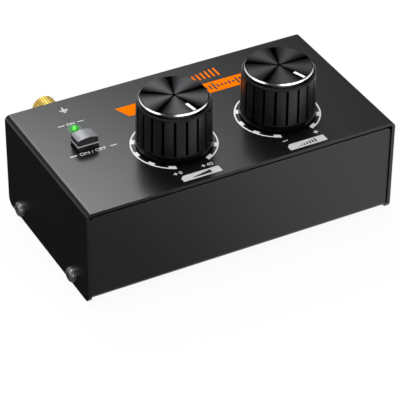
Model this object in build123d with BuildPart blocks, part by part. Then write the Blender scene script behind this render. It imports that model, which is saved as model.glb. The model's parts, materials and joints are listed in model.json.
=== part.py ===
from build123d import *
import os

# Phono preamp in a folded sheet-metal case: gain and volume knobs, power button and lamp on
# the top plate, phono and line jacks, headphone-size jack, power inlet and ground post behind.
# Millimetres. X runs along the case, Y from front to back, Z up from the surface it stands on.
# The origin is the middle of the outline seen from above, at the underside of the feet.

os.makedirs("parts", exist_ok=True)

# Case
case_length = 120.0
case_depth = 66.5
case_height = 36.5
sheet = 1.2             # steel sheet
bend = 2.0              # outer radius of every fold
seam = 0.25             # cover to chassis, at the sides
top_gap = 1.1           # cover to the top edge of the front and rear panels
panel_recess = 0.6      # front and rear panels behind the edge of the cover
panel_corner = 1.8      # rounding of the panels' upper corners
cover_drop = 1.0        # sides of the cover below the chassis
side_corner = 3.0       # rounding of the cover's lower corners
flange_height = 9.0     # chassis flanges that the cover screws go into
relief = 1.0            # slit beside each fold of the flanges
foot_radius = 4.5
foot_height = 2.0
foot_inset = 10.0       # foot centre from the edge of the case
foot_chamfer = 0.4

# Fits
slip = 0.02             # pieces of one body that stay together
running = 0.05          # shaft in its bushing, all round
sliding = 0.15          # plunger in its guide, each side
moving_gap = 0.3        # pieces of different bodies

# Screws
thread_radius = 1.5     # M3
clearance_radius = 1.7
head_radius = 2.8
head_height = 1.9
head_round = 1.3
head_chamfer = 0.6
cross_width = 0.7       # cross recess
cross_length = 2.6
cross_depth = 1.0
cover_screw_reach = 0.6 # past the flange
cover_screw_z = 3.4     # above the underside of the case
cover_screw_front = 12.7
cover_screw_rear = 11.2

# Boards
board_thickness = 1.6
standoff_height = 4.0
standoff_radius = 2.8
standoff_shank = 2.1
standoff_wall = 1.0     # left under the tapped hole
board_margin = 1.0      # main board to the chassis walls
board_hole_inset = 3.5
board_screw_reach = 2.5

# Potentiometers, knobs and their places on the top plate
gain_from_left = 45.0
volume_from_right = 34.0
knob_from_front = 24.0
pot_width = 16.6
pot_corner = 5.0
pot_height = 12.0       # under the cover
pot_plate = 1.0         # die-cast plate that carries the bushing
pot_waist = 1.0         # how far the wafers' stack is set in from the cans
wafer_thickness = 1.2
wafer_gap = 0.2
wafer_width = 13.0
wafer_lip = 1.0         # wafer past its terminals
pin_radius = 0.45
pin_hole = 0.6
pin_pitch = 5.0
pin_row = 3.0           # from one row of terminals to the next
pin_tail = 1.4          # terminals below the board
bushing_radius = 3.5    # M7
bushing_length = 7.0
bushing_hole = 3.6
bushing_chamfer = 0.3
shaft_radius = 3.0
shaft_flat = 1.5        # depth of the flat on the shaft
shaft_flat_length = 8.5
shaft_floor = 2.3       # bottom of the shaft above the bottom of the potentiometer
washer_radius = 6.0
washer_thickness = 0.5
nut_flats = 10.0
nut_height = 2.0
knob_height = 20.0      # face of the cap above the top plate
knob_gap = 1.2          # under the skirt
skirt_radius = 13.5
skirt_top = 3.0
skirt_proud = 0.15      # skirt past the grip
grip_draft = 0.25       # how much narrower the grip is at its top
shoulder = 0.5
flute_count = 20
flute_radius = 0.5
flute_depth = 0.6
flute_end = 1.1         # plain band above the flutes
knob_wall = 2.1
knob_roof = 2.7         # between the cavity and the cap
knob_rim = 1.0          # grip round the cap
hub_radius = 5.2
hub_gap = 1.8           # hub to the bushing
rib_thickness = 1.6
shaft_gap = 1.2         # end of the shaft to the cap
cap_sunk = 1.0
cap_proud = 0.9         # straight edge of the cap above the grip
cap_bevel = 0.5
cap_bevel_height = 0.9
pointer_inner = 6.8
pointer_width = 1.15
pointer_depth = 0.4
gain_pointer_angle = -80.0
volume_pointer_angle = -70.0

# Power button, its latching switch and the lamp
button_from_left = 17.1
button_from_rear = 29.6
button_length = 8.0
button_depth = 5.8
button_corner_height = 4.3  # edge of the crowned top above the plate
button_crown = 0.75
button_step_height = 1.85
button_step = 0.15
button_fillet = 0.25
button_hole_gap = 0.3
button_hole_corner = 0.4
button_rise = 1.5           # from latched to released
button_press = 0.5          # past the latched place
collar_rim = 0.9            # collar that keeps the button under the cover
collar_height = 0.8
switch_width = 8.0
plunger_width = 3.0
plunger_in_button = 1.6
plunger_in_switch = 2.6
lamp_from_left = 18.4
lamp_from_rear = 18.6
lamp_radius = 1.5
lamp_rim_radius = 1.95
lamp_rim = 1.0
lamp_length = 5.3
lamp_proud = 1.3
lamp_hole_gap = 0.1
lamp_leg = 0.5
lamp_leg_pitch = 2.54
spacer_radius = 2.4
spacer_bore = 1.7

# Control board, under the top plate
control_left = 8.0          # from the left side of the case
control_front = 1.7         # in front of the foremost terminals
control_right = 3.2         # past the volume potentiometer
control_rear = 1.3          # from the phono jacks
control_notch = 0.7         # from the 6.35 mm jack

# Header between the boards
header_x = 6.0
header_from_rear = 7.0      # from the rear edge of the control board
header_columns = 5
header_rows = 2
header_pitch = 2.54
header_pin = 0.64
header_socket_height = 8.5
header_strip_height = 2.5
header_pin_proud = 0.7      # above the control board
header_hole = 0.9
header_depth = 5.0

# Rear panel
rca_in_from_left = 45.0
rca_out_from_right = 49.0
rca_width = 11.0
rca_depth = 12.4
rca_pitch = 14.0
rca_low = 4.6               # lower jack above the main board
rca_headroom = 6.6          # housing above the axis of the upper jack
rca_boss_radius = 4.6
rca_hole_gap = 0.2
rca_sleeve_radius = 4.15
rca_sleeve_wall = 0.5
rca_reach = 9.0             # from the panel to the lip of the sleeve
rca_seat = 3.0              # sleeve inside the housing
rca_core_recess = 1.0
rca_contact_radius = 2.0
rca_contact_bore = 1.65
rca_root_radius = 3.95      # sleeve inside the panel
rca_screw_reach = 5.0
rca_screw_radius = 1.25
rca_screw_hole = 1.4
rca_screw_head = 1.95
rca_screw_head_height = 1.5
rca_screw_chamfer = 0.5
rca_cross_length = 2.2
trs_from_right = 22.0
trs_width = 16.0
trs_depth = 29.0
trs_height = 12.4
trs_bushing_radius = 4.75
trs_hole_gap = 0.15
trs_reach = 6.0
trs_bore = 3.25
trs_bore_depth = 30.0
trs_washer_radius = 7.2
trs_washer_thickness = 0.6
trs_nut_flats = 12.7
trs_nut_height = 2.4
dc_from_left = 18.5
dc_width = 9.0
dc_depth = 14.0
dc_height = 11.0
dc_centre = 5.8             # above the main board
dc_proud = 0.5
dc_bore = 3.2
dc_bore_depth = 10.0
dc_pin_radius = 1.05
dc_pin_recess = 0.6
dc_pin_root = 1.0
dc_pin_root_radius = 1.6
dc_pin_round = 0.6
dc_hole_gap = 0.2
post_from_left = 18.5
post_from_top = 6.5
post_radius = 2.0           # M4
post_chamfer = 0.4
post_reach = 10.5
post_inside = 6.0
post_nut_flats = 7.0
post_nut_height = 2.2
post_lock_height = 3.2
post_washer_radius = 4.3
post_washer_thickness = 0.6
thumb_radius = 4.5
thumb_length = 6.0
thumb_flutes = 32
thumb_flute_radius = 0.2
thumb_chamfer = 0.5

# Parts on the main board: (from a side or the middle, from the front)
can_radius = 3.15
can_chamfer = 0.4
can_headroom = 2.6          # to the control board
cans_from_left = ((14, 22), (22, 22), (14, 31), (22, 31), (30, 22))
cans_from_right = ((10, 14), (10, 23))
film_size = (7.2, 4.5, 7.0)
film_places = ((-2, 20), (-2, 27), (8, 20), (8, 27), (18, 20), (18, 27))
op_amp_size = (9.6, 6.4, 3.4)
op_amps_from_middle = ((-22, 38), (-8, 38))
op_amps_from_right = ((39, 38),)
package_corner = 0.4
resistor_radius = 1.15
resistor_length = 6.3
resistors_from_left = ((40, 14), (40, 17), (40, 20), (40, 23))
resistors_from_middle = ((30, 14), (30, 17), (30, 20), (30, 23))
regulator_length = 10.0
regulator_width = 4.5
regulator_headroom = 2.9    # to the control board
regulator_tab = 1.3
regulator_tab_height = 3.0
regulator_from_left = (14, 40)

# Worked out from the above
half_length = case_length / 2
rear_reach = post_reach - panel_recess
front_y = -(case_depth + rear_reach) / 2
rear_y = front_y + case_depth
middle_y = (front_y + rear_y) / 2
floor_z = foot_height
top_z = floor_z + case_height
under_top = top_z - sheet
cover_foot_z = floor_z - cover_drop
front_panel_y = front_y + panel_recess
rear_panel_y = rear_y - panel_recess
rear_inside_y = rear_panel_y - sheet
chassis_half = half_length - sheet - seam
panel_top = under_top - top_gap
board_z = floor_z + sheet + standoff_height
board_top = board_z + board_thickness
board_half = chassis_half - sheet - board_margin
board_front = front_panel_y + sheet + board_margin
board_rear = rear_inside_y - slip
board_middle = (board_front + board_rear) / 2
pot_bottom = under_top - pot_height
gang_height = (pot_height - pot_plate - wafer_gap) / 2 - wafer_thickness
control_top = pot_bottom
control_z = control_top - board_thickness
knob_y = front_y + knob_from_front
gain_x = -half_length + gain_from_left
volume_x = half_length - volume_from_right
first_row = pot_width / 2 + pin_row / 2
grip_foot_radius = skirt_radius - skirt_proud
grip_top_radius = grip_foot_radius - grip_draft
cavity_radius = grip_foot_radius - knob_wall
cap_radius = grip_top_radius - knob_rim
cap_face_radius = cap_radius - cap_bevel
cap_edge = knob_height - cap_bevel_height
grip_top = cap_edge - cap_proud
cap_seat = grip_top - cap_sunk
cavity_top = cap_seat - knob_roof
flute_foot = skirt_top + shoulder
shaft_top = cap_seat - shaft_gap
hub_foot = bushing_length - sheet + hub_gap
screw_ys = (front_y + cover_screw_front, rear_y - cover_screw_rear)
screw_z = floor_z + cover_screw_z
button_x = -half_length + button_from_left
button_y = rear_y - button_from_rear
lamp_x = -half_length + lamp_from_left
lamp_y = rear_y - lamp_from_rear
control_left_x = -half_length + control_left
control_right_x = volume_x + pot_width / 2 + control_right
control_front_y = knob_y - first_row - pin_row - control_front
control_rear_y = rear_inside_y - rca_depth - control_rear
header_y = control_rear_y - header_from_rear
dc_x = -half_length + dc_from_left
dc_z = board_top + dc_centre
trs_x = half_length - trs_from_right
trs_z = board_top + trs_height / 2
post_x = -half_length + post_from_left
post_z = top_z - post_from_top
rca_places = (
    (-half_length + rca_in_from_left, "rca_in"),
    (half_length - rca_out_from_right, "rca_out"),
)
rca_heights = (board_top + rca_low, board_top + rca_low + rca_pitch)
rca_screw_z = (rca_heights[0] + rca_heights[1]) / 2
lamp_top = top_z + lamp_proud
lamp_base = lamp_top - lamp_length
collar_top = under_top - button_rise - moving_gap
collar_bottom = collar_top - collar_height
switch_top = collar_bottom - button_press - moving_gap
knob_places = ((gain_x, "gain", gain_pointer_angle), (volume_x, "volume", volume_pointer_angle))
board_holes = [
    (x, y)
    for x in (-board_half + board_hole_inset, board_half - board_hole_inset)
    for y in (board_front + board_hole_inset, board_rear - board_hole_inset)
]
header_spots = [
    (header_x + (i - (header_columns - 1) / 2) * header_pitch,
     header_y + (j - (header_rows - 1) / 2) * header_pitch)
    for i in range(header_columns)
    for j in range(header_rows)
]
lamp_legs = ((lamp_x - lamp_leg_pitch / 2, lamp_y), (lamp_x + lamp_leg_pitch / 2, lamp_y))


def save(piece, name):
    piece.part.label = name
    export_step(piece.part, f"parts/{name}.step")


def rear_plane(x, z, outward):
    # looks out of the rear panel, from a point behind or before its outer face
    return Plane(origin=(x, rear_panel_y + outward, z), x_dir=(-1, 0, 0), z_dir=(0, 1, 0))


def terminal_spots(x):
    # two rows of three terminals in front of a potentiometer
    return [
        (x + column * pin_pitch, knob_y - first_row - row * pin_row)
        for row in (0, 1)
        for column in (-1, 0, 1)
    ]


def make_cover():
    with BuildPart() as cover:
        with BuildSketch(Plane.XZ.offset(-front_y)):
            with BuildLine():
                FilletPolyline(
                    (-half_length, cover_foot_z), (-half_length, top_z),
                    (half_length, top_z), (half_length, cover_foot_z), radius=bend,
                )
                offset(amount=sheet, side=Side.RIGHT)
            make_face()
        extrude(amount=-case_depth)
        fillet(cover.edges().filter_by(Axis.X).group_by(Axis.Z)[0], radius=side_corner)
        with BuildSketch(Plane.XY.offset(top_z)):
            with Locations((gain_x, knob_y), (volume_x, knob_y)):
                Circle(bushing_hole)
            with Locations((lamp_x, lamp_y)):
                Circle(lamp_radius + lamp_hole_gap)
            with Locations((button_x, button_y)):
                RectangleRounded(
                    button_length + 2 * button_hole_gap,
                    button_depth + 2 * button_hole_gap,
                    button_hole_corner,
                )
        extrude(amount=-2 * sheet, mode=Mode.SUBTRACT)
        with BuildSketch(Plane.YZ.offset(-half_length)):
            with Locations(*[(y, screw_z) for y in screw_ys]):
                Circle(clearance_radius)
        extrude(amount=case_length, mode=Mode.SUBTRACT)
    save(cover, "top_cover")


def make_chassis():
    notch_front = front_panel_y + bend
    notch_rear = rear_panel_y - bend
    with BuildPart() as chassis:
        with BuildSketch(Plane.YZ.offset(-chassis_half)):
            with BuildLine():
                FilletPolyline(
                    (front_panel_y, panel_top), (front_panel_y, floor_z),
                    (rear_panel_y, floor_z), (rear_panel_y, panel_top), radius=bend,
                )
                offset(amount=sheet, side=Side.LEFT)
            make_face()
        extrude(amount=2 * chassis_half)
        fillet(chassis.edges().filter_by(Axis.Y).group_by(Axis.Z)[-1], radius=panel_corner)
        # side flanges, folded up between slits
        for side, inward in ((1, Side.LEFT), (-1, Side.RIGHT)):
            with BuildSketch(Plane.XY.offset(floor_z)):
                with Locations((side * chassis_half, (notch_front + notch_rear) / 2)):
                    Rectangle(2 * bend, notch_rear - notch_front)
            extrude(amount=sheet, mode=Mode.SUBTRACT)
            with BuildSketch(Plane.XZ.offset(-notch_front - relief)):
                with BuildLine():
                    FilletPolyline(
                        (side * (chassis_half - 2 * bend), floor_z),
                        (side * chassis_half, floor_z),
                        (side * chassis_half, floor_z + flange_height), radius=bend,
                    )
                    offset(amount=sheet, side=inward)
                make_face()
            extrude(amount=-(notch_rear - notch_front - 2 * relief))
        with BuildSketch(Plane.YZ.offset(-chassis_half)):
            with Locations(*[(y, screw_z) for y in screw_ys]):
                Circle(thread_radius + slip)
        extrude(amount=2 * chassis_half, mode=Mode.SUBTRACT)
        with BuildSketch(Plane.XY.offset(floor_z)):
            with Locations(*board_holes):
                Circle(standoff_shank + slip)
        extrude(amount=sheet, mode=Mode.SUBTRACT)
        # openings of the rear panel
        with BuildSketch(rear_plane(0, 0, 0)):
            with Locations(*[(-x, z) for x, _ in rca_places for z in rca_heights]):
                Circle(rca_boss_radius + rca_hole_gap)
            with Locations(*[(-x, rca_screw_z) for x, _ in rca_places]):
                Circle(rca_screw_hole)
            with Locations((-trs_x, trs_z)):
                Circle(trs_bushing_radius + trs_hole_gap)
            with Locations((-post_x, post_z)):
                Circle(post_radius + slip)
            with Locations((-dc_x, board_top + dc_height / 2)):
                Rectangle(dc_width + 2 * dc_hole_gap, dc_height + 2 * dc_hole_gap)
        extrude(amount=-sheet, mode=Mode.SUBTRACT)
    save(chassis, "chassis")


def make_cover_screws():
    with BuildPart() as screws:
        for side in (-1, 1):
            for y in screw_ys:
                head_face = Plane(origin=(side * half_length, y, screw_z), z_dir=(side, 0, 0))
                with BuildSketch(head_face):
                    Circle(head_radius)
                extrude(amount=head_height)
                with BuildSketch(head_face):
                    Circle(thread_radius)
                extrude(amount=-(2 * sheet + seam + cover_screw_reach))
        ends = screws.faces().filter_by(Axis.X)
        rims = ends.group_by(Axis.X)[0].edges() + ends.group_by(Axis.X)[-1].edges()
        fillet(rims, radius=head_round)
        for side in (-1, 1):
            for y in screw_ys:
                top = Plane(origin=(side * (half_length + head_height), y, screw_z), z_dir=(side, 0, 0))
                with BuildSketch(top):
                    Rectangle(cross_length, cross_width)
                    Rectangle(cross_width, cross_length)
                extrude(amount=-cross_depth, mode=Mode.SUBTRACT)
    save(screws, "cover_screws")


def make_feet():
    with BuildPart() as feet:
        with BuildSketch(Plane.XY):
            with Locations((0, middle_y)):
                with GridLocations(case_length - 2 * foot_inset, case_depth - 2 * foot_inset, 2, 2):
                    Circle(foot_radius)
        extrude(amount=foot_height)
        chamfer(feet.edges().group_by(Axis.Z)[0], length=foot_chamfer)
    save(feet, "rubber_feet")


def make_main_board():
    with BuildPart() as board:
        with BuildSketch(Plane.XY.offset(board_z)):
            with Locations((0, board_middle)):
                Rectangle(2 * board_half, board_rear - board_front)
            with Locations(*board_holes):
                Circle(clearance_radius, mode=Mode.SUBTRACT)
        extrude(amount=board_thickness)
    save(board, "main_board")

    with BuildPart() as standoffs:
        with BuildSketch(Plane.XY.offset(floor_z)):
            with Locations(*board_holes):
                Circle(standoff_shank)
        extrude(amount=sheet)
        with BuildSketch(Plane.XY.offset(floor_z + sheet)):
            with Locations(*board_holes):
                Circle(standoff_radius)
        extrude(amount=standoff_height)
        with BuildSketch(Plane.XY.offset(board_z)):
            with Locations(*board_holes):
                Circle(thread_radius + slip)
        extrude(amount=-(standoff_height + sheet - standoff_wall), mode=Mode.SUBTRACT)
    save(standoffs, "board_standoffs")

    with BuildPart() as screws:
        with BuildSketch(Plane.XY.offset(board_top)):
            with Locations(*board_holes):
                Circle(head_radius)
        extrude(amount=head_height)
        chamfer(screws.edges().group_by(Axis.Z)[-1], length=head_chamfer)
        with BuildSketch(Plane.XY.offset(board_top)):
            with Locations(*board_holes):
                Circle(thread_radius)
        extrude(amount=-(board_thickness + board_screw_reach))
        with BuildSketch(Plane.XY.offset(board_top + head_height)):
            with Locations(*board_holes):
                Rectangle(cross_length, cross_width)
                Rectangle(cross_width, cross_length)
        extrude(amount=-cross_depth, mode=Mode.SUBTRACT)
    save(screws, "board_screws")


def make_control_board():
    length = control_right_x - control_left_x
    width = control_rear_y - control_front_y
    with BuildPart() as board:
        with BuildSketch(Plane.XY.offset(control_z)):
            with Locations(((control_left_x + control_right_x) / 2, (control_front_y + control_rear_y) / 2)):
                Rectangle(length, width)
            # notch round the 6.35 mm jack
            notch = (trs_x - trs_width / 2 - control_notch, rear_inside_y - trs_depth - control_notch)
            with Locations(notch):
                Rectangle(length, width, align=(Align.MIN, Align.MIN), mode=Mode.SUBTRACT)
            with Locations(*terminal_spots(gain_x), *terminal_spots(volume_x)):
                Circle(pin_hole, mode=Mode.SUBTRACT)
            with Locations(*lamp_legs, *header_spots):
                Circle(pin_hole, mode=Mode.SUBTRACT)
        extrude(amount=board_thickness)
    save(board, "control_board")


def make_header():
    length = header_columns * header_pitch
    width = header_rows * header_pitch
    with BuildPart() as socket:
        with BuildSketch(Plane.XY.offset(board_top)):
            with Locations((header_x, header_y)):
                Rectangle(length, width)
        extrude(amount=header_socket_height)
        with BuildSketch(Plane.XY.offset(board_top + header_socket_height)):
            with Locations(*header_spots):
                Rectangle(header_hole, header_hole)
        extrude(amount=-header_depth - slip, mode=Mode.SUBTRACT)
    save(socket, "link_socket")

    with BuildPart() as strip:
        with BuildSketch(Plane.XY.offset(control_z)):
            with Locations((header_x, header_y)):
                Rectangle(length, width)
        extrude(amount=-header_strip_height)
        pin_top = control_top + header_pin_proud
        with BuildSketch(Plane.XY.offset(pin_top)):
            with Locations(*header_spots):
                Rectangle(header_pin, header_pin)
        extrude(amount=-(pin_top - board_top - header_socket_height + header_depth))
    save(strip, "link_pins")


def make_potentiometer(x, channel):
    # two stacked gangs under a die-cast plate, hung from the top plate by its bushing
    gang_bottoms = (pot_bottom, under_top - pot_plate - gang_height)
    wafers = (gang_bottoms[0] + gang_height, gang_bottoms[1] - wafer_thickness)
    spots = terminal_spots(x)
    with BuildPart() as body:
        for bottom in gang_bottoms:
            with BuildSketch(Plane.XY.offset(bottom)):
                with Locations((x, knob_y)):
                    RectangleRounded(pot_width, pot_width, pot_corner)
            extrude(amount=gang_height)
        with BuildSketch(Plane.XY.offset(wafers[0])):
            with Locations((x, knob_y)):
                RectangleRounded(pot_width - 2 * pot_waist, pot_width - 2 * pot_waist, pot_corner)
        extrude(amount=gang_bottoms[1] - wafers[0])
        # phenolic wafers reach forward to their terminals
        for row, bottom in enumerate(wafers):
            reach = first_row + row * pin_row + wafer_lip
            with BuildSketch(Plane.XY.offset(bottom)):
                with Locations((x, knob_y - reach / 2)):
                    Rectangle(wafer_width, reach)
            extrude(amount=wafer_thickness)
        with BuildSketch(Plane.XY.offset(under_top - pot_plate)):
            with Locations((x, knob_y)):
                Circle(shaft_radius + moving_gap)
        depth = pot_height - pot_plate - shaft_floor + moving_gap
        extrude(amount=-depth, mode=Mode.SUBTRACT)
    save(body, f"{channel}_pot_body")

    with BuildPart() as terminals:
        for i, (px, py) in enumerate(spots):
            upper = wafers[i // 3]
            with BuildSketch(Plane.XY.offset(upper)):
                with Locations((px, py)):
                    Circle(pin_radius)
            extrude(amount=-(upper - control_z + pin_tail))
    save(terminals, f"{channel}_pot_terminals")

    with BuildPart() as bushing:
        with BuildSketch(Plane.XY.offset(under_top - pot_plate)):
            with Locations((x, knob_y)):
                RectangleRounded(pot_width, pot_width, pot_corner)
        extrude(amount=pot_plate)
        with BuildSketch(Plane.XY.offset(under_top)):
            with Locations((x, knob_y)):
                Circle(bushing_radius)
        extrude(amount=bushing_length)
        chamfer(bushing.edges().group_by(Axis.Z)[-1], length=bushing_chamfer)
        with BuildSketch(Plane.XY.offset(under_top - pot_plate)):
            with Locations((x, knob_y)):
                Circle(shaft_radius + running)
        extrude(amount=pot_plate + bushing_length, mode=Mode.SUBTRACT)
    save(bushing, f"{channel}_pot_bushing")

    with BuildPart() as washer:
        with BuildSketch(Plane.XY.offset(top_z)):
            with Locations((x, knob_y)):
                Circle(washer_radius)
                Circle(bushing_radius + slip, mode=Mode.SUBTRACT)
        extrude(amount=washer_thickness)
    save(washer, f"{channel}_pot_washer")

    with BuildPart() as nut:
        with BuildSketch(Plane.XY.offset(top_z + washer_thickness)):
            with Locations((x, knob_y)):
                RegularPolygon(nut_flats / 2, 6, major_radius=False)
                Circle(bushing_radius + slip, mode=Mode.SUBTRACT)
        extrude(amount=nut_height)
    save(nut, f"{channel}_pot_nut")


def make_knob(x, channel, angle):
    axis = Axis((x, knob_y, 0), (0, 0, 1))
    profile_plane = Plane(origin=(x, knob_y, top_z), x_dir=(1, 0, 0), z_dir=(0, -1, 0))
    pointing = Plane(origin=(x, knob_y, top_z), z_dir=(0, 0, 1)).rotated((0, 0, angle))
    flat_x = shaft_radius - shaft_flat / 2

    with BuildPart() as shaft:
        with BuildSketch(Plane.XY.offset(pot_bottom + shaft_floor)):
            with Locations((x, knob_y)):
                Circle(shaft_radius)
        extrude(amount=top_z + shaft_top - pot_bottom - shaft_floor)
        with BuildSketch(pointing.offset(shaft_top - shaft_flat_length)):
            with Locations((-flat_x, 0)):
                Rectangle(shaft_flat, 2 * shaft_radius)
        extrude(amount=shaft_flat_length, mode=Mode.SUBTRACT)
    save(shaft, f"{channel}_pot_shaft")

    with BuildPart() as knob:
        with BuildSketch(profile_plane):
            with BuildLine():
                Polyline(
                    (0, cap_seat), (cap_radius + slip, cap_seat), (cap_radius + slip, grip_top),
                    (grip_top_radius - shoulder, grip_top), (grip_top_radius, grip_top - shoulder),
                    (grip_foot_radius, flute_foot), (skirt_radius, skirt_top),
                    (skirt_radius, knob_gap), (cavity_radius, knob_gap),
                    (cavity_radius, cavity_top), (hub_radius, cavity_top),
                    (hub_radius, hub_foot), (0, hub_foot), (0, cap_seat),
                )
            make_face()
        revolve(axis=axis)
        # ribs between hub and wall
        with BuildSketch(pointing.offset(hub_foot)):
            Rectangle(2 * (cavity_radius + slip), rib_thickness)
            Rectangle(rib_thickness, 2 * (cavity_radius + slip))
        extrude(amount=cavity_top - hub_foot + slip)
        # bore with a flat for the shaft
        with BuildSketch(pointing.offset(hub_foot)):
            Circle(shaft_radius + slip)
        extrude(amount=shaft_top - hub_foot + slip, mode=Mode.SUBTRACT)
        with BuildSketch(pointing.offset(shaft_top - shaft_flat_length + slip)):
            Circle(shaft_radius + 2 * slip)
            with Locations((shaft_flat - slip, 0)):
                Rectangle(2 * shaft_radius, 3 * shaft_radius, mode=Mode.SUBTRACT)
        extrude(amount=shaft_flat_length)
        # grip flutes
        with BuildSketch(pointing.offset(flute_foot)):
            with PolarLocations(grip_foot_radius + flute_radius - flute_depth, flute_count):
                Circle(flute_radius)
        extrude(amount=grip_top - flute_end - flute_foot, mode=Mode.SUBTRACT)
    save(knob, f"{channel}_knob")

    pointer_middle = (pointer_inner + cap_face_radius) / 2
    with BuildPart() as cap:
        with BuildSketch(profile_plane):
            with BuildLine():
                Polyline(
                    (0, cap_seat), (cap_radius, cap_seat), (cap_radius, cap_edge),
                    (cap_face_radius, knob_height), (0, knob_height), (0, cap_seat),
                )
            make_face()
        revolve(axis=axis)
        with BuildSketch(pointing.offset(knob_height)):
            with Locations((pointer_middle, 0)):
                Rectangle(cap_face_radius - pointer_inner, pointer_width)
        extrude(amount=-pointer_depth, mode=Mode.SUBTRACT)
    save(cap, f"{channel}_knob_cap")

    with BuildPart() as pointer:
        with BuildSketch(pointing.offset(knob_height)):
            with Locations((pointer_middle, 0)):
                Rectangle(cap_face_radius - pointer_inner - 2 * slip, pointer_width - 2 * slip)
        extrude(amount=-pointer_depth)
    save(pointer, f"{channel}_pointer")


def make_button():
    edge_z = top_z + button_corner_height
    upper_half = button_length / 2 - button_step
    with BuildPart() as button:
        with BuildSketch(Plane.XY.offset(collar_bottom)):
            with Locations((button_x, button_y)):
                Rectangle(button_length + 2 * collar_rim, button_depth + 2 * collar_rim)
        extrude(amount=collar_height)
        with BuildSketch(Plane.XY.offset(collar_top)):
            with Locations((button_x, button_y)):
                RectangleRounded(button_length, button_depth, button_fillet)
        extrude(amount=top_z + button_step_height - collar_top)
        # crowned upper part, set in by a small step
        upper_depth = button_depth - 2 * button_step
        with BuildSketch(Plane.XZ.offset(-button_y - upper_depth / 2)):
            with BuildLine():
                Polyline(
                    (button_x - upper_half, edge_z),
                    (button_x - upper_half, top_z + button_step_height - slip),
                    (button_x + upper_half, top_z + button_step_height - slip),
                    (button_x + upper_half, edge_z),
                )
                ThreePointArc(
                    (button_x + upper_half, edge_z), (button_x, edge_z + button_crown),
                    (button_x - upper_half, edge_z),
                )
            make_face()
        extrude(amount=upper_depth)
        with BuildSketch(Plane.XY.offset(collar_bottom)):
            with Locations((button_x, button_y)):
                Rectangle(plunger_width + 2 * slip, plunger_width + 2 * slip)
        extrude(amount=plunger_in_button + slip, mode=Mode.SUBTRACT)
    save(button, "power_button")

    plunger_bottom = switch_top - plunger_in_switch
    with BuildPart() as plunger:
        with BuildSketch(Plane.XY.offset(plunger_bottom)):
            with Locations((button_x, button_y)):
                Rectangle(plunger_width, plunger_width)
        extrude(amount=collar_bottom + plunger_in_button - plunger_bottom)
    save(plunger, "switch_plunger")

    guide = plunger_width + 2 * sliding
    with BuildPart() as switch:
        with BuildSketch(Plane.XY.offset(control_top)):
            with Locations((button_x, button_y)):
                Rectangle(switch_width, switch_width)
        extrude(amount=switch_top - control_top)
        with BuildSketch(Plane.XY.offset(switch_top)):
            with Locations((button_x, button_y)):
                Rectangle(guide, guide)
        extrude(amount=-(plunger_in_switch + button_press + moving_gap), mode=Mode.SUBTRACT)
    save(switch, "switch_body")


def make_lamp():
    with BuildPart() as lamp:
        with BuildSketch(Plane.XY.offset(lamp_base)):
            with Locations((lamp_x, lamp_y)):
                Circle(lamp_rim_radius)
        extrude(amount=lamp_rim)
        with BuildSketch(Plane(origin=(lamp_x, lamp_y, lamp_base), z_dir=(0, -1, 0), x_dir=(1, 0, 0))):
            with BuildLine():
                shoulder_z = lamp_length - lamp_radius
                Polyline((0, lamp_length), (0, 0), (lamp_radius, 0), (lamp_radius, shoulder_z))
                RadiusArc((lamp_radius, shoulder_z), (0, lamp_length), -lamp_radius)
            make_face()
        revolve(axis=Axis((lamp_x, lamp_y, 0), (0, 0, 1)))
    save(lamp, "power_lamp")

    with BuildPart() as spacer:
        with BuildSketch(Plane.XY.offset(control_top)):
            with Locations((lamp_x, lamp_y)):
                Circle(spacer_radius)
                Circle(spacer_bore, mode=Mode.SUBTRACT)
        extrude(amount=lamp_base - control_top)
    save(spacer, "lamp_spacer")

    with BuildPart() as legs:
        with BuildSketch(Plane.XY.offset(lamp_base)):
            with Locations(*lamp_legs):
                Rectangle(lamp_leg, lamp_leg)
        extrude(amount=-(lamp_base - control_z + pin_tail))
    save(legs, "lamp_legs")


def make_rca_pair(x, name):
    # two phono jacks, one above the other, in one moulded block on the main board
    core_radius = rca_sleeve_radius - rca_sleeve_wall
    housing_top = rca_heights[1] + rca_headroom
    with BuildPart() as housing:
        with BuildSketch(Plane.XY.offset(board_top)):
            with Locations((x, rear_inside_y - rca_depth / 2)):
                Rectangle(rca_width, rca_depth)
        extrude(amount=housing_top - board_top)
        for z in rca_heights:
            with BuildSketch(rear_plane(x, z, -sheet)):
                Circle(rca_boss_radius)
            extrude(amount=sheet)
            with BuildSketch(rear_plane(x, z, 0)):
                Circle(rca_root_radius + slip)
            extrude(amount=-(sheet + rca_seat), mode=Mode.SUBTRACT)
        with BuildSketch(rear_plane(x, rca_screw_z, 0)):
            Circle(rca_screw_radius + slip)
        extrude(amount=-(sheet + rca_screw_reach), mode=Mode.SUBTRACT)
    save(housing, f"{name}_housing")

    root = sheet + rca_seat
    with BuildPart() as sleeves:
        for z in rca_heights:
            with BuildSketch(rear_plane(x, z, 0)):
                Circle(rca_sleeve_radius)
                Circle(core_radius, mode=Mode.SUBTRACT)
            extrude(amount=rca_reach)
            with BuildSketch(rear_plane(x, z, 0)):
                Circle(rca_root_radius)
                Circle(core_radius, mode=Mode.SUBTRACT)
            extrude(amount=-root)
    save(sleeves, f"{name}_sleeves")

    with BuildPart() as cores:
        for z in rca_heights:
            with BuildSketch(rear_plane(x, z, -root)):
                Circle(core_radius - slip)
                Circle(rca_contact_radius + slip, mode=Mode.SUBTRACT)
            extrude(amount=root + rca_reach - rca_core_recess)
    save(cores, f"{name}_cores")

    with BuildPart() as contacts:
        for z in rca_heights:
            with BuildSketch(rear_plane(x, z, -root)):
                Circle(rca_contact_radius)
                Circle(rca_contact_bore, mode=Mode.SUBTRACT)
            extrude(amount=root + rca_reach - rca_core_recess)
    save(contacts, f"{name}_contacts")


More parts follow.
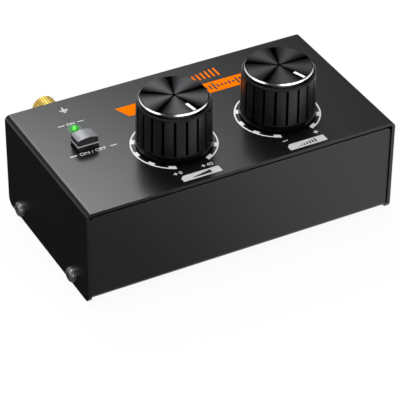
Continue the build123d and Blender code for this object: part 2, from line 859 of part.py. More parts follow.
def make_rear_screws():
    with BuildPart() as screws:
        for x, _ in rca_places:
            with BuildSketch(rear_plane(x, rca_screw_z, 0)):
                Circle(rca_screw_head)
            extrude(amount=rca_screw_head_height)
        chamfer(screws.edges().group_by(Axis.Y)[-1], length=rca_screw_chamfer)
        for x, _ in rca_places:
            with BuildSketch(rear_plane(x, rca_screw_z, 0)):
                Circle(rca_screw_radius)
            extrude(amount=-(sheet + rca_screw_reach - slip))
            with BuildSketch(rear_plane(x, rca_screw_z, rca_screw_head_height)):
                Rectangle(rca_cross_length, cross_width)
                Rectangle(cross_width, rca_cross_length)
            extrude(amount=-cross_depth, mode=Mode.SUBTRACT)
    save(screws, "rear_screws")


def make_trs_jack():
    with BuildPart() as jack:
        with BuildSketch(Plane.XY.offset(board_top)):
            with Locations((trs_x, rear_inside_y - trs_depth / 2)):
                Rectangle(trs_width, trs_depth)
        extrude(amount=trs_height)
        with BuildSketch(rear_plane(trs_x, trs_z, -sheet)):
            Circle(trs_bushing_radius)
        extrude(amount=sheet + trs_reach)
        with BuildSketch(rear_plane(trs_x, trs_z, trs_reach)):
            Circle(trs_bore)
        extrude(amount=-trs_bore_depth, mode=Mode.SUBTRACT)
    save(jack, "trs_jack")

    with BuildPart() as washer:
        with BuildSketch(rear_plane(trs_x, trs_z, 0)):
            Circle(trs_washer_radius)
            Circle(trs_bushing_radius + slip, mode=Mode.SUBTRACT)
        extrude(amount=trs_washer_thickness)
    save(washer, "trs_washer")

    with BuildPart() as nut:
        with BuildSketch(rear_plane(trs_x, trs_z, trs_washer_thickness)):
            RegularPolygon(trs_nut_flats / 2, 6, major_radius=False)
            Circle(trs_bushing_radius + slip, mode=Mode.SUBTRACT)
        extrude(amount=trs_nut_height)
    save(nut, "trs_nut")


def make_dc_jack():
    with BuildPart() as jack:
        with BuildSketch(rear_plane(dc_x, board_top + dc_height / 2, dc_proud)):
            Rectangle(dc_width, dc_height)
        extrude(amount=-(dc_proud + sheet + dc_depth))
        with BuildSketch(rear_plane(dc_x, dc_z, dc_proud)):
            Circle(dc_bore)
        extrude(amount=-dc_bore_depth, mode=Mode.SUBTRACT)
        with BuildSketch(rear_plane(dc_x, dc_z, dc_proud - dc_bore_depth)):
            Circle(dc_pin_root_radius + slip)
        extrude(amount=-dc_pin_root, mode=Mode.SUBTRACT)
    save(jack, "dc_jack")

    with BuildPart() as pin:
        with BuildSketch(rear_plane(dc_x, dc_z, dc_proud - dc_bore_depth)):
            Circle(dc_pin_radius)
        extrude(amount=dc_bore_depth - dc_pin_recess)
        fillet(pin.edges().group_by(Axis.Y)[-1], radius=dc_pin_round)
        with BuildSketch(rear_plane(dc_x, dc_z, dc_proud - dc_bore_depth)):
            Circle(dc_pin_root_radius)
        extrude(amount=-dc_pin_root)
    save(pin, "dc_pin")


def make_ground_post():
    with BuildPart() as stud:
        with BuildSketch(rear_plane(post_x, post_z, -sheet - post_inside)):
            Circle(post_radius)
        extrude(amount=post_inside + sheet + post_reach)
        chamfer(stud.edges().group_by(Axis.Y)[-1], length=post_chamfer)
    save(stud, "ground_stud")

    hexagons = (
        ("ground_lock_nut", -sheet, -post_lock_height),
        ("ground_seat_nut", 0, post_nut_height),
    )
    for name, start, height in hexagons:
        with BuildPart() as nut:
            with BuildSketch(rear_plane(post_x, post_z, start)):
                RegularPolygon(post_nut_flats / 2, 6, major_radius=False)
                Circle(post_radius + slip, mode=Mode.SUBTRACT)
            extrude(amount=height)
        save(nut, name)

    with BuildPart() as washer:
        with BuildSketch(rear_plane(post_x, post_z, post_nut_height)):
            Circle(post_washer_radius)
            Circle(post_radius + slip, mode=Mode.SUBTRACT)
        extrude(amount=post_washer_thickness)
    save(washer, "ground_washer")

    start = post_nut_height + post_washer_thickness + moving_gap
    with BuildPart() as thumb:
        with BuildSketch(rear_plane(post_x, post_z, start)):
            Circle(thumb_radius)
        extrude(amount=thumb_length)
        ends = thumb.faces().filter_by(Axis.Y).edges()
        chamfer(ends, length=thumb_chamfer)
        with BuildSketch(rear_plane(post_x, post_z, start)):
            Circle(post_radius + running)
            with PolarLocations(thumb_radius, thumb_flutes):
                Circle(thumb_flute_radius)
        extrude(amount=thumb_length, mode=Mode.SUBTRACT)
    save(thumb, "ground_thumb_nut")


def make_components():
    def on_board(places, edge=0.0, inward=1):
        # places measured inward from a side of the case, or from its middle
        return [(edge + inward * x, front_y + y) for x, y in places]

    cans_at = on_board(cans_from_left, -half_length) + on_board(cans_from_right, half_length, -1)
    with BuildPart() as cans:
        with BuildSketch(Plane.XY.offset(board_top)):
            with Locations(*cans_at):
                Circle(can_radius)
        extrude(amount=control_z - board_top - can_headroom)
        chamfer(cans.edges().group_by(Axis.Z)[-1], length=can_chamfer)
    save(cans, "electrolytic_capacitors")

    op_amps_at = on_board(op_amps_from_middle) + on_board(op_amps_from_right, half_length, -1)
    blocks = (
        ("film_capacitors", film_size, on_board(film_places)),
        ("op_amps", op_amp_size, op_amps_at),
    )
    for name, (length, width, height), places in blocks:
        with BuildPart() as block:
            with BuildSketch(Plane.XY.offset(board_top)):
                with Locations(*places):
                    RectangleRounded(length, width, package_corner)
            extrude(amount=height)
        save(block, name)

    resistors_at = on_board(resistors_from_left, -half_length) + on_board(resistors_from_middle)
    with BuildPart() as resistors:
        for x, y in resistors_at:
            lying = Plane(origin=(x, y, board_top + resistor_radius), z_dir=(1, 0, 0))
            with BuildSketch(lying.offset(-resistor_length / 2)):
                Circle(resistor_radius)
            extrude(amount=resistor_length)
    save(resistors, "resistors")

    x, y = on_board([regulator_from_left], -half_length)[0]
    regulator_top = control_z - regulator_headroom
    with BuildPart() as regulator:
        with BuildSketch(Plane.XY.offset(board_top)):
            with Locations((x, y)):
                Rectangle(regulator_length, regulator_width)
        extrude(amount=regulator_top - regulator_tab_height - board_top)
        with BuildSketch(Plane.XY.offset(regulator_top)):
            with Locations((x, y + regulator_width / 2 - regulator_tab / 2)):
                Rectangle(regulator_length, regulator_tab)
        extrude(amount=-regulator_tab_height)
    save(regulator, "voltage_regulator")


make_cover()
make_chassis()
make_cover_screws()
make_feet()
make_main_board()
make_control_board()
make_header()
for place_x, channel_name, pointer_angle in knob_places:
    make_potentiometer(place_x, channel_name)
    make_knob(place_x, channel_name, pointer_angle)
make_button()
make_lamp()
for place_x, block_name in rca_places:
    make_rca_pair(place_x, block_name)
make_rear_screws()
make_trs_jack()
make_dc_jack()
make_ground_post()
make_components()
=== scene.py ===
import json
import math

import bmesh
import bpy
from mathutils import Euler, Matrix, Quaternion, Vector


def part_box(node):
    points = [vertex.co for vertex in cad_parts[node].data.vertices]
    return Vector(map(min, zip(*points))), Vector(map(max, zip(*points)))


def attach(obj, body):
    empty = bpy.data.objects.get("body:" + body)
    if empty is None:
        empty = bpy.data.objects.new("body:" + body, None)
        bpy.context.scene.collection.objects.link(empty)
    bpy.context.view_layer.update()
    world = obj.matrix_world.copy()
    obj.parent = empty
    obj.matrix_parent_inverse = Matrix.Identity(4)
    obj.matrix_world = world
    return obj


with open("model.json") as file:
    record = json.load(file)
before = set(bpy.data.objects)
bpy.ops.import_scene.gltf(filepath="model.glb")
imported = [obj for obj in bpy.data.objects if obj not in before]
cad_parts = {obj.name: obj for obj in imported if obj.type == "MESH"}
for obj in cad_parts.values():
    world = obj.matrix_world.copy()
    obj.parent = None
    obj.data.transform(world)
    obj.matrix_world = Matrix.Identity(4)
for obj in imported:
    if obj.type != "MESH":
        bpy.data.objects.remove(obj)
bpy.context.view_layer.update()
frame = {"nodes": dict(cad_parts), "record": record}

mm = 0.001  # lengths of pieces are given in millimetres, those of the studio in metres
plateLow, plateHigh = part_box("top_cover")
print("frame loaded:", len(frame["nodes"]), "nodes")


def topOf(node):
    # middle of a node's top, in metres
    low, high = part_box(node)
    return (low.x + high.x) / 2, (low.y + high.y) / 2, high.z


def overPlate(node):
    # middle of a node, at the height of the plate
    x, y, _ = topOf(node)
    return x, y, plateHigh.z


# Shader tools: a value given to a socket may be a number, a colour or another socket

def setSockets(tree, node, values):
    for name, value in values.items():
        socket = node.inputs[name]
        if isinstance(value, bpy.types.NodeSocket):
            tree.links.new(value, socket)
        elif socket.type == "RGBA":
            socket.default_value = (*value, 1.0)
        else:
            socket.default_value = value


def addNode(tree, kind, inputs=None, **settings):
    node = tree.nodes.new(kind)
    for name, value in settings.items():
        setattr(node, name, value)
    setSockets(tree, node, inputs or {})
    return node


def calc(tree, operation, *values, clamp=False):
    node = addNode(tree, "ShaderNodeMath", dict(enumerate(values)), operation=operation, use_clamp=clamp)
    return node.outputs[0]


def remap(tree, value, low, high, newLow, newHigh, smooth=False):
    return addNode(tree, "ShaderNodeMapRange", {
        "Value": value, "From Min": low, "From Max": high, "To Min": newLow, "To Max": newHigh,
    }, interpolation_type="SMOOTHSTEP" if smooth else "LINEAR").outputs["Result"]


def blendColour(tree, factor, first, second, mode="MIX"):
    inputs = {0: factor, 6: first, 7: second}
    return addNode(tree, "ShaderNodeMix", inputs, data_type="RGBA", blend_type=mode).outputs[2]


def blendValue(tree, factor, first, second):
    return addNode(tree, "ShaderNodeMix", {0: factor, 2: first, 3: second}, data_type="FLOAT").outputs[0]


def scaleColour(tree, colour, amount):
    grey = addNode(tree, "ShaderNodeCombineColor", {0: amount, 1: amount, 2: amount}).outputs[0]
    return blendColour(tree, 1.0, colour, grey, "MULTIPLY")


def objectPoint(tree):
    return addNode(tree, "ShaderNodeTexCoord").outputs["Object"]


def stretchPoint(tree, scale):
    return addNode(tree, "ShaderNodeMapping", {"Vector": objectPoint(tree), "Scale": scale}).outputs[0]


def splitPoint(tree, vector):
    return addNode(tree, "ShaderNodeSeparateXYZ", {"Vector": vector}).outputs


def splitNormal(tree):
    return splitPoint(tree, addNode(tree, "ShaderNodeNewGeometry").outputs["Normal"])


def awayFrom(tree, place):
    away = addNode(tree, "ShaderNodeVectorMath", {0: objectPoint(tree), 1: place}, operation="SUBTRACT")
    return splitPoint(tree, away.outputs[0])


def distanceFrom(tree, place):
    away = addNode(tree, "ShaderNodeVectorMath", {0: objectPoint(tree), 1: place}, operation="DISTANCE")
    return away.outputs["Value"]


def radiusOf(tree, across, along):
    squares = [calc(tree, "MULTIPLY", side, side) for side in (across, along)]
    return calc(tree, "SQRT", calc(tree, "ADD", *squares))


def aroundOne(tree, spread):
    return calc(tree, "SUBTRACT", 1.0, spread), calc(tree, "ADD", 1.0, spread)


def noise(tree, point, scale, detail, roughness):
    return addNode(tree, "ShaderNodeTexNoise", {
        "Vector": point, "Scale": scale, "Detail": detail, "Roughness": roughness,
    }).outputs["Fac"]


def lineNoise(tree, distance, scale):
    return addNode(tree, "ShaderNodeTexNoise", {
        "W": distance, "Scale": scale, "Detail": 3.0, "Roughness": 0.6,
    }, noise_dimensions="1D").outputs["Fac"]


def cellDistance(tree, point, scale, randomness=1.0, metric="EUCLIDEAN"):
    return addNode(tree, "ShaderNodeTexVoronoi", {
        "Vector": point, "Scale": scale, "Randomness": randomness,
    }, distance=metric, feature="F1").outputs["Distance"]


def startGroup(name, inputs, outputs):
    tree = bpy.data.node_groups.new(name, "ShaderNodeTree")
    for label, value in inputs.items():
        kind = "NodeSocketVector" if isinstance(value, tuple) else "NodeSocketFloat"
        tree.interface.new_socket(label, in_out="INPUT", socket_type=kind).default_value = value
    for label in outputs:
        tree.interface.new_socket(label, in_out="OUTPUT", socket_type="NodeSocketFloat")
    return tree, tree.nodes.new("NodeGroupInput").outputs, tree.nodes.new("NodeGroupOutput")


def useGroup(tree, group, **inputs):
    return addNode(tree, "ShaderNodeGroup", inputs, node_tree=group).outputs


# Effects that several finishes share. Most of a noise lies within noiseReach

noiseReach = (0.3, 0.7)
markReach = (0.32, 0.68)


# the pits' scale and share beside the peel's
grainPits = {"scale": 0.6, "share": 0.35}


def makeFineGrain():
    # orange peel of a coat or a moulded skin: a height and a slight change of tone
    tree, given, out = startGroup("fineGrain", {"Scale": 2500.0, "Spread": 0.1}, ("Height", "Tone"))
    point = objectPoint(tree)
    peel = noise(tree, point, given["Scale"], detail=3.0, roughness=0.6)
    pits = cellDistance(tree, point, calc(tree, "MULTIPLY", given["Scale"], grainPits["scale"]))
    height = blendValue(tree, grainPits["share"], peel, pits)
    low, high = aroundOne(tree, given["Spread"])
    setSockets(tree, out, {"Height": height, "Tone": remap(tree, height, *noiseReach, low, high)})
    return tree


# wiping leaves streaks along one way, beside patches
wipeStreaks = {"stretch": (3.0, 0.6, 1.0), "scale": 2.5, "share": 0.4}


def makeHandMarks():
    # wiped and touched patches, which change the gloss more than the colour
    tree, given, out = startGroup(
        "handMarks", {"Scale": 40.0, "Smooth": 0.3, "Dull": 0.4, "Spread": 0.05}, ("Roughness", "Tone"))
    patches = noise(tree, objectPoint(tree), given["Scale"], detail=4.0, roughness=0.55)
    wiped = stretchPoint(tree, wipeStreaks["stretch"])
    fine = calc(tree, "MULTIPLY", given["Scale"], wipeStreaks["scale"])
    streaks = noise(tree, wiped, fine, detail=3.0, roughness=0.6)
    mark = blendValue(tree, wipeStreaks["share"], patches, streaks)
    low, high = aroundOne(tree, given["Spread"])
    setSockets(tree, out, {
        "Roughness": remap(tree, mark, *markReach, given["Smooth"], given["Dull"]),
        "Tone": remap(tree, mark, *noiseReach, high, low),
    })
    return tree


# flat and sharp are cosines between the rounded and the flat normal
rubbedEdge = {"flat": 0.995, "sharp": 0.85, "patches": 350.0, "patchReach": (0.42, 0.62), "least": 0.15}


def makeEdgeRub():
    # bare edges: the rounded normal leaves the flat one only near an edge
    tree, given, out = startGroup("edgeRub", {"Reach": 0.0003, "Amount": 1.0}, ("Mask",))
    rounded = addNode(tree, "ShaderNodeBevel", {"Radius": given["Reach"]}, samples=4).outputs[0]
    flat = addNode(tree, "ShaderNodeNewGeometry").outputs["Normal"]
    facing = addNode(tree, "ShaderNodeVectorMath", {0: rounded, 1: flat}, operation="DOT_PRODUCT").outputs["Value"]
    edge = remap(tree, facing, rubbedEdge["flat"], rubbedEdge["sharp"], 0.0, 1.0)
    patches = noise(tree, objectPoint(tree), rubbedEdge["patches"], detail=4.0, roughness=0.7)
    patchy = remap(tree, patches, *rubbedEdge["patchReach"], rubbedEdge["least"], 1.0)
    rub = calc(tree, "MULTIPLY", calc(tree, "MULTIPLY", edge, patchy), given["Amount"], clamp=True)
    setSockets(tree, out, {"Mask": rub})
    return tree


def makeTurnedLines():
    # marks of the lathe round an axis along Y
    tree, given, out = startGroup(
        "turnedLines", {"Centre": (0.0, 0.0, 0.0), "Scale": 4000.0}, ("Height", "Tone"))
    x, y, z = awayFrom(tree, given["Centre"])
    line = lineNoise(tree, calc(tree, "ADD", y, radiusOf(tree, x, z)), given["Scale"])
    setSockets(tree, out, {"Height": line, "Tone": remap(tree, line, *noiseReach, 0.94, 1.05)})
    return tree


# the rays are painted highlight and shade: the face's colour runs between dark and bright round the axis
spunRingsAndPaintedRays = {"count": 5.0, "softness": 0.85, "rings": 5200.0, "ringTone": (0.8, 1.2),
            "hub": (0.2, 1.6), "edgeBlur": 0.02, "dropBlur": 0.01}


def makeSpunFace():
    # fine rings round an upright axis, painted rays of highlight and shade on the spun face, and the bevel beyond
    # its edge
    tree, given, out = startGroup(
        "spunFace", {"Centre": (0.0, 0.0, 0.0), "Edge": 0.0118, "Drop": 0.0009, "Turn": 0.0},
        ("Height", "Ray", "Bevel", "Tone"))
    x, y, z = awayFrom(tree, given["Centre"])
    radius = radiusOf(tree, x, y)
    angle = calc(tree, "SUBTRACT", calc(tree, "ARCTAN2", y, x), given["Turn"])
    paintedRay = calc(tree, "COSINE", calc(tree, "MULTIPLY", angle, spunRingsAndPaintedRays["count"]))
    paintedRay = calc(tree, "POWER", remap(tree, paintedRay, -1.0, 1.0, 0.0, 1.0), spunRingsAndPaintedRays["softness"])
    ring = lineNoise(tree, radius, spunRingsAndPaintedRays["rings"])
    near, far = (length * mm for length in spunRingsAndPaintedRays["hub"])
    hub = remap(tree, radius, near, far, 0.0, 1.0, smooth=True)
    edgeBlur, dropBlur = spunRingsAndPaintedRays["edgeBlur"] * mm, spunRingsAndPaintedRays["dropBlur"] * mm
    outside = remap(tree, calc(tree, "SUBTRACT", radius, given["Edge"]), -edgeBlur, edgeBlur, 0.0, 1.0)
    upper = remap(tree, calc(tree, "ADD", z, given["Drop"]), -dropBlur, dropBlur, 0.0, 1.0)
    setSockets(tree, out, {
        "Height": ring,
        "Ray": calc(tree, "MULTIPLY", paintedRay, hub),
        "Bevel": calc(tree, "MULTIPLY", outside, upper),
        "Tone": remap(tree, ring, *noiseReach, *spunRingsAndPaintedRays["ringTone"]),
    })
    return tree


def makeGripFlutes():
    # masks of a fluted grip round an upright axis, measured from the plate, where the grip's shade is painted: its
    # flutes, the plain band below them and the shoulder above them
    tree, given, out = startGroup(
        "gripFlutes", {"Centre": (0.0, 0.0, 0.0), "Foot": 0.0035, "Top": 0.0171, "Skin": 0.01308, "Deep": 0.01292},
        ("Flute", "Band", "Shoulder"))
    x, y, z = awayFrom(tree, given["Centre"])
    deep = remap(tree, radiusOf(tree, x, y), given["Skin"], given["Deep"], 0.0, 1.0, smooth=True)
    band = calc(tree, "LESS_THAN", z, given["Foot"])
    shoulder = calc(tree, "GREATER_THAN", z, given["Top"])
    between = calc(tree, "SUBTRACT", calc(tree, "SUBTRACT", 1.0, band), shoulder)
    setSockets(tree, out, {"Flute": calc(tree, "MULTIPLY", deep, between), "Band": band, "Shoulder": shoulder})
    return tree


boardPattern = {"trackInside": (0.36, 0.40), "trackOutside": (0.50, 0.46), "trackSpread": 0.35,
                "pads": 0.8, "padRim": (0.10, 0.13), "padSpread": 0.6, "tilt": (0.3, 0.6)}


def makeBoardTracks():
    # copper tracks under the solder mask, bare pads, and the pale cut edge of the board
    tree, given, out = startGroup("boardTracks", {"Scale": 260.0}, ("Track", "Pad", "Edge", "Height"))
    flat = stretchPoint(tree, (1.0, 1.0, 0.0))
    cell = cellDistance(tree, flat, given["Scale"], boardPattern["trackSpread"], "CHEBYCHEV")
    inside = remap(tree, cell, *boardPattern["trackInside"], 0.0, 1.0)
    outside = remap(tree, cell, *boardPattern["trackOutside"], 0.0, 1.0)
    track = calc(tree, "MULTIPLY", inside, outside)
    padScale = calc(tree, "MULTIPLY", given["Scale"], boardPattern["pads"])
    pads = cellDistance(tree, flat, padScale, boardPattern["padSpread"])
    edge = remap(tree, calc(tree, "ABSOLUTE", splitNormal(tree)[2]), *boardPattern["tilt"], 1.0, 0.0)
    pad = remap(tree, pads, *boardPattern["padRim"], 1.0, 0.0)
    pad = calc(tree, "MULTIPLY", pad, calc(tree, "SUBTRACT", 1.0, edge))
    height = calc(tree, "ADD", track, pad, clamp=True)
    setSockets(tree, out, {"Track": track, "Pad": pad, "Edge": edge, "Height": height})
    return tree


fineGrain = makeFineGrain()
handMarks = makeHandMarks()
edgeRub = makeEdgeRub()
turnedLines = makeTurnedLines()
spunFace = makeSpunFace()
gripFlutes = makeGripFlutes()
boardTracks = makeBoardTracks()
print("effects built")


# Finishes. smooth and dull are the roughness of clean and of touched patches, grain and
# marks the number of bumps and of patches per metre, depth how high the bumps stand in
# millimetres, spread how far the tone varies, rub how bare the edges are

finishes = {
    "cover_steel": dict(colour=(0.0025, 0.0026, 0.0028), smooth=0.279, dull=0.291, grain=5500.0, depth=0.0028,
                        spread=0.05, marks=26.0, rub=0.25, rubColour=(0.12, 0.12, 0.125)),
    "chassis_steel": dict(colour=(0.0052, 0.0053, 0.0057), smooth=0.32, dull=0.34, grain=5500.0, depth=0.0028,
                          spread=0.05, marks=30.0, rub=0.2, rubColour=(0.12, 0.12, 0.125)),
    "black_screw": dict(colour=(0.24, 0.24, 0.248), metallic=0.7, smooth=0.2, dull=0.24, grain=3000.0,
                        depth=0.001, spread=0.08, marks=250.0, rub=0.5, rubColour=(0.4, 0.4, 0.41)),
    "zinc_steel": dict(colour=(0.62, 0.63, 0.65), metallic=1.0, smooth=0.22, dull=0.38, grain=2600.0,
                       depth=0.002, spread=0.06, marks=200.0),
    "foot_rubber": dict(colour=(0.02, 0.02, 0.0205), smooth=0.75, dull=0.9, grain=1800.0, depth=0.03,
                        spread=0.2, marks=300.0),
    "black_nylon": dict(colour=(0.018, 0.018, 0.0185), smooth=0.42, dull=0.55, grain=2200.0, depth=0.008,
                        spread=0.12, marks=150.0, rub=0.2, rubColour=(0.06, 0.06, 0.06)),
    "die_cast": dict(colour=(0.5, 0.5, 0.51), metallic=1.0, smooth=0.4, dull=0.55, grain=1500.0, depth=0.012,
                     spread=0.12, marks=180.0),
    "white_inlay": dict(colour=(0.86, 0.86, 0.86), smooth=0.3, dull=0.42, grain=2600.0, depth=0.004,
                        spread=0.03, marks=300.0),
    "spacer_black": dict(colour=(0.022, 0.022, 0.022), smooth=0.45, dull=0.6, grain=2000.0, depth=0.008,
                         spread=0.12, marks=200.0),
    "core_red": dict(colour=(0.52, 0.03, 0.022), smooth=0.25, dull=0.4, grain=2200.0, depth=0.004,
                     spread=0.06, marks=250.0),
    "core_white": dict(colour=(0.78, 0.78, 0.76), smooth=0.25, dull=0.4, grain=2200.0, depth=0.004,
                       spread=0.04, marks=250.0),
    "film_red": dict(colour=(0.42, 0.05, 0.03), smooth=0.2, dull=0.35, grain=900.0, depth=0.02,
                     spread=0.1, marks=200.0),
    "chip_black": dict(colour=(0.022, 0.022, 0.023), smooth=0.5, dull=0.65, grain=3000.0, depth=0.01,
                       spread=0.15, marks=200.0),
    "resistor_blue": dict(colour=(0.12, 0.32, 0.5), smooth=0.22, dull=0.35, grain=1500.0, depth=0.006,
                          spread=0.08, marks=300.0),
    "print_white": dict(colour=(0.84, 0.84, 0.83), smooth=0.5, dull=0.62, grain=3200.0, depth=0.003,
                        spread=0.05, marks=120.0),
    "label_white": dict(colour=(0.6, 0.6, 0.6), smooth=0.5, dull=0.62, grain=3200.0, depth=0.003,
                        spread=0.05, marks=120.0),
    "print_orange": dict(colour=(1.0, 0.188, 0.0), smooth=0.5, dull=0.62, grain=3200.0, depth=0.003,
                         spread=0.05, marks=120.0, gloss=0.0),
    "print_black": dict(colour=(0.012, 0.012, 0.012), smooth=0.42, dull=0.55, grain=3200.0, depth=0.003,
                        spread=0.1, marks=120.0),
}


def startMaterial(name):
    material = bpy.data.materials.new(name)
    material.use_nodes = True
    tree = material.node_tree
    return material, tree, tree.nodes["Principled BSDF"]


def raiseSkin(tree, principled, height, depth):
    bump = addNode(tree, "ShaderNodeBump", {"Strength": 1.0, "Distance": depth * mm, "Height": height})
    setSockets(tree, principled, {"Normal": bump.outputs[0]})


def coatedFinish(slot, colour, smooth, dull, grain, depth, spread, marks,
                 metallic=0.0, rub=0.0, rubColour=None, gloss=0.5):
    material, tree, principled = startMaterial(slot)
    skin = useGroup(tree, fineGrain, Scale=grain, Spread=spread)
    touched = useGroup(tree, handMarks, Scale=marks, Smooth=smooth, Dull=dull)
    shade = scaleColour(tree, colour, calc(tree, "MULTIPLY", skin["Tone"], touched["Tone"]))
    if rub:
        worn = useGroup(tree, edgeRub, Amount=rub)["Mask"]
        shade = blendColour(tree, worn, shade, rubColour)
    setSockets(tree, principled, {
        "Base Color": shade, "Roughness": touched["Roughness"], "Metallic": metallic, "Specular IOR Level": gloss,
    })
    raiseSkin(tree, principled, skin["Height"], depth)
    return material


materials = {slot: coatedFinish(slot, **values) for slot, values in finishes.items()}

turnedFinishes = {
    "brass_turned": dict(colour=(0.66, 0.48, 0.12), smooth=0.42, dull=0.5, centre="ground_stud"),
    "gold_plate": dict(colour=(0.9, 0.66, 0.26), smooth=0.14, dull=0.26, centre="rca_in_sleeves"),
    "nickel": dict(colour=(0.7, 0.69, 0.66), smooth=0.16, dull=0.3, centre="trs_nut"),
}


def turnedFinish(slot, colour, smooth, dull, centre):
    material, tree, principled = startMaterial(slot)
    low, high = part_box(centre)
    lathe = useGroup(tree, turnedLines, Centre=(low + high) / 2)
    touched = useGroup(tree, handMarks, Scale=300.0, Smooth=smooth, Dull=dull, Spread=0.08)
    tone = calc(tree, "MULTIPLY", lathe["Tone"], touched["Tone"])
    setSockets(tree, principled, {
        "Base Color": scaleColour(tree, colour, tone), "Roughness": touched["Roughness"], "Metallic": 1.0,
    })
    raiseSkin(tree, principled, lathe["Height"], depth=0.004)
    return material


materials.update({slot: turnedFinish(slot, **values) for slot, values in turnedFinishes.items()})

# the face's colour runs in rays from dark to a painted highlight; the bevel is polished metal
knobCap = {"dark": (0.002, 0.002, 0.0021), "paintedHighlight": (0.085, 0.085, 0.087), "bevel": (0.95, 0.95, 0.96),
           "faceRoughness": 0.42, "bevelRoughness": 0.2, "faceRadius": 11.8, "bevelHeight": 0.9, "paintedRayTurn": 36.0}


def spunCapFinish(knob):
    material, tree, principled = startMaterial(knob + "_cap_metal")
    spun = useGroup(tree, spunFace, Centre=topOf(knob + "_cap"), Edge=knobCap["faceRadius"] * mm,
                    Drop=knobCap["bevelHeight"] * mm, Turn=math.radians(knobCap["paintedRayTurn"]))
    # painted highlight and shade: the face goes from the dark colour to the bright one along the rays
    face = blendColour(tree, spun["Ray"], knobCap["dark"], knobCap["paintedHighlight"])
    face = scaleColour(tree, face, spun["Tone"])
    setSockets(tree, principled, {
        "Base Color": blendColour(tree, spun["Bevel"], face, knobCap["bevel"]),
        "Roughness": blendValue(tree, spun["Bevel"], knobCap["faceRoughness"], knobCap["bevelRoughness"]),
        "Metallic": 1.0, "Specular Tint": (0.0, 0.0, 0.0),
    })
    raiseSkin(tree, principled, spun["Height"], depth=0.002)
    return material


capMaterials = {knob + "_cap": spunCapFinish(knob) for knob in ("gain_knob", "volume_knob")}

# flute, band and shoulder are colours of painted shade on the grip
knobGrip = {"skin": (0.004, 0.004, 0.0043), "flute": (0.0005, 0.0005, 0.0005), "band": (0.0115, 0.0115, 0.0117),
            "shoulder": (0.034, 0.034, 0.0345), "smooth": 0.28, "dull": 0.36,
            "bandTop": 3.5, "shoulderFoot": 17.1, "skinRadius": 13.08, "fluteRadius": 12.92}


def gripFinish(knob):
    # satin grip with painted shade: black in its flutes, darker on the band round its foot and on
    # its shoulder. Those places are metallic, so that their colour is the whole of their shine
    material, tree, principled = startMaterial(knob + "_grip")
    grip = useGroup(tree, gripFlutes, Centre=overPlate(knob), Foot=knobGrip["bandTop"] * mm,
                    Top=knobGrip["shoulderFoot"] * mm, Skin=knobGrip["skinRadius"] * mm,
                    Deep=knobGrip["fluteRadius"] * mm)
    skin = useGroup(tree, fineGrain, Scale=1300.0, Spread=0.15)
    touched = useGroup(tree, handMarks, Scale=120.0, Smooth=knobGrip["smooth"], Dull=knobGrip["dull"])
    shade = scaleColour(tree, knobGrip["skin"], calc(tree, "MULTIPLY", skin["Tone"], touched["Tone"]))
    for place in ("Band", "Flute", "Shoulder"):
        shade = blendColour(tree, grip[place], shade, knobGrip[place.lower()])
    bandAndFlutes = calc(tree, "ADD", grip["Band"], grip["Flute"])
    setSockets(tree, principled, {
        "Base Color": shade, "Roughness": touched["Roughness"],
        "Metallic": calc(tree, "ADD", bandAndFlutes, grip["Shoulder"], clamp=True),
    })
    raiseSkin(tree, principled, skin["Height"], depth=0.003)
    return material


knobMaterials = {knob: gripFinish(knob) for knob in ("gain_knob", "volume_knob")}

boardColours = {"mask": (0.008, 0.10, 0.04), "track": (0.015, 0.17, 0.07),
                "pad": (0.75, 0.74, 0.7), "edge": (0.42, 0.36, 0.2)}


def boardFinish():
    material, tree, principled = startMaterial("board_green")
    lines = useGroup(tree, boardTracks)
    touched = useGroup(tree, handMarks, Scale=60.0, Smooth=0.22, Dull=0.36)
    shade = boardColours["mask"]
    for place in ("Track", "Pad", "Edge"):
        shade = blendColour(tree, lines[place], shade, boardColours[place.lower()])
    setSockets(tree, principled, {
        "Base Color": scaleColour(tree, shade, touched["Tone"]), "Roughness": touched["Roughness"],
        "Metallic": lines["Pad"],
    })
    raiseSkin(tree, principled, lines["Height"], depth=0.03)
    return material


materials["board_green"] = boardFinish()

canSleeve = {"sleeve": (0.012, 0.012, 0.05), "stripe": (0.55, 0.56, 0.6), "metal": (0.7, 0.71, 0.72),
             "stripeTurn": (0.86, 0.88), "topTilt": (0.5, 0.6)}


def canFinish():
    # shrink sleeve on the wall with a pale stripe along one side, bare aluminium on the top
    material, tree, principled = startMaterial("can_sleeve")
    across, _, upward = splitNormal(tree)
    stripe = remap(tree, across, *canSleeve["stripeTurn"], 0.0, 1.0)
    top = remap(tree, upward, *canSleeve["topTilt"], 0.0, 1.0)
    touched = useGroup(tree, handMarks, Scale=200.0, Smooth=0.2, Dull=0.34)
    shade = blendColour(tree, stripe, canSleeve["sleeve"], canSleeve["stripe"])
    shade = blendColour(tree, top, shade, canSleeve["metal"])
    setSockets(tree, principled, {
        "Base Color": scaleColour(tree, shade, touched["Tone"]), "Roughness": touched["Roughness"],
        "Metallic": top,
    })
    raiseSkin(tree, principled, useGroup(tree, fineGrain, Scale=900.0)["Height"], depth=0.01)
    return material


materials["can_sleeve"] = canFinish()

powerButton = {"sides": (0.03, 0.03, 0.033), "top": (0.2, 0.2, 0.212), "foot": (0.002, 0.002, 0.002),
               "topTilt": (0.6, 0.8), "brush": 3500.0, "brushTone": (0.78, 1.22),
               "seam": (0.6, 0.6, 0.62), "seamHeight": 1.85, "seamRise": 0.38, "seamWidth": 0.15, "seamBlur": 0.02,
               "length": 8.0, "depth": 5.8, "corner": 0.25, "leastCorner": 0.04, "inset": 0.01}


